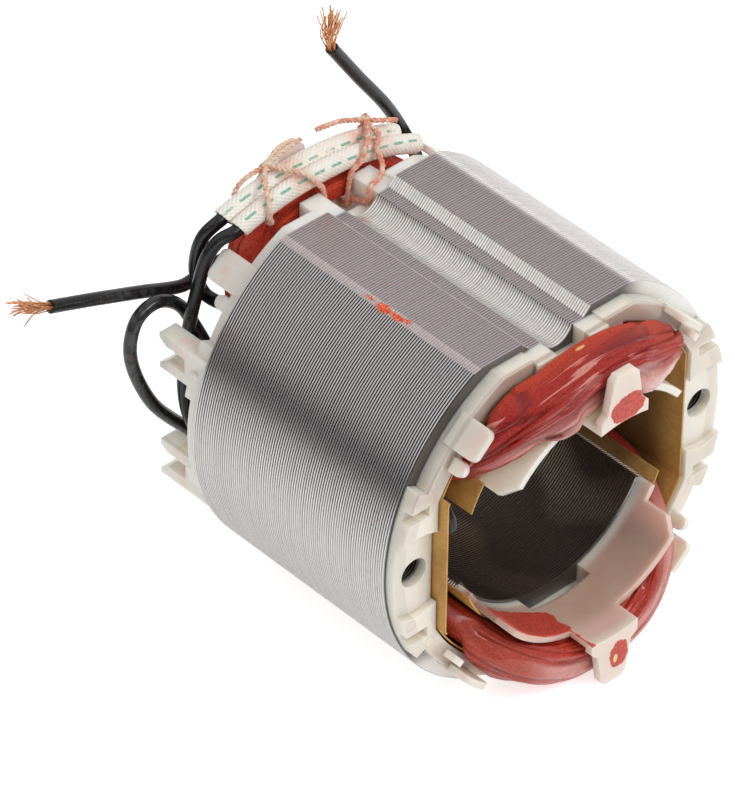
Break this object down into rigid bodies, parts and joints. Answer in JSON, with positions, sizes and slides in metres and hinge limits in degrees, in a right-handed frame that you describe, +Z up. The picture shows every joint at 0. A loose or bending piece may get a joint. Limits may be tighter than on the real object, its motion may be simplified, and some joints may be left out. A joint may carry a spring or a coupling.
{
  "type": "motor stator",
  "caption": "Field stator of a universal motor: laminated steel stack with red-varnished saddle coils, moulded end frames, paper slot liners, laced braided sleeves and stranded leads.",
  "frame": {"origin": "on the axis of the armature bore, at the middle of the lamination stack", "axes": "+Z up from the bottom flat to the top flat, +X to the right seen from the front, +Y from the front end to the rear end that carries the leads"},
  "size_m": [0.0926, 0.0766, 0.0853],
  "materials": {
    "steel": "bare stamped electrical steel, satin",
    "nylon": "natural moulded nylon, a little translucent",
    "varnish": "red baked varnish over wound copper wire",
    "paper": "tan insulating paper",
    "braid": "white woven sleeve with a dashed green tracer",
    "twine": "lacing string stained by varnish",
    "sheath": "black smooth cable sheath",
    "copper": "bare copper strands"
  },
  "bodies": {
    "root": {"lamination_stack": "steel", "front_end_frame": "nylon", "rear_end_frame": "nylon", "upper_field_coil": "varnish", "lower_field_coil": "varnish", "left_slot_liner": "paper", "right_slot_liner": "paper", "outer_lead_sleeve": "braid", "inner_lead_sleeve": "braid", "left_lacing_tie": "twine", "right_lacing_tie": "twine", "outer_sleeved_wire": "sheath", "inner_sleeved_wire": "sheath", "loop_wire": "sheath", "left_lead": "sheath", "left_lead_strands": "copper", "top_lead": "sheath", "top_lead_strands": "copper"}
  },
  "joints": []
}
